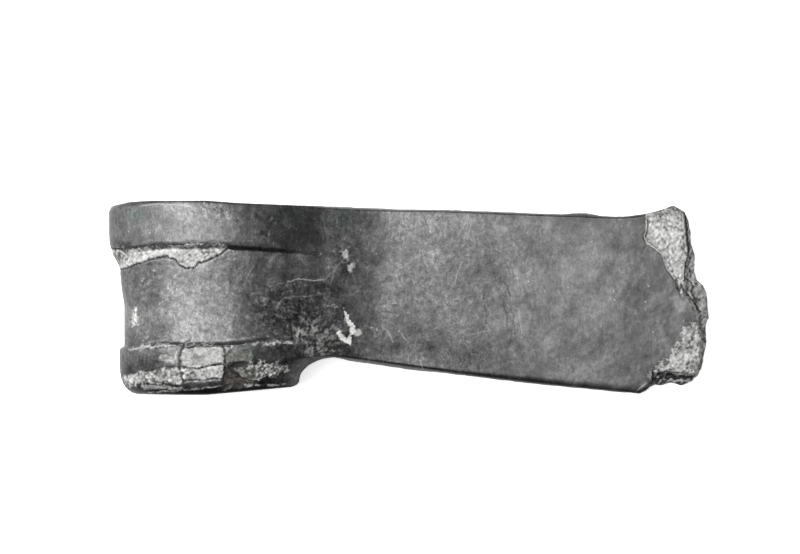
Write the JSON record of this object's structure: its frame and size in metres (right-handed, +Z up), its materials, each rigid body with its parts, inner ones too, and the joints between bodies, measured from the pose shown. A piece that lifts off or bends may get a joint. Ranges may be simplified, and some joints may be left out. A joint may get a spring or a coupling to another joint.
{
  "type": "bronze shaft-hole axe head",
  "caption": "Ancient cast bronze axe head with a collared oval shaft hole for a haft and a flat, slightly flaring blade with a broken edge.",
  "frame": {"origin": "on the ground, under the middle of the box of the axe lying on its far cheek", "axes": "+X from the socket to the broken cutting edge, +Y up along the shaft hole as the picture shows it, +Z up from the ground, out of the near cheek"},
  "size_m": [0.1496, 0.0488, 0.03],
  "materials": {
    "patinated_bronze": "dull dark grey patina over cast bronze, pale crystalline corrosion where the skin has flaked"
  },
  "bodies": {
    "root": {"axe_head": "patinated_bronze"}
  },
  "joints": []
}
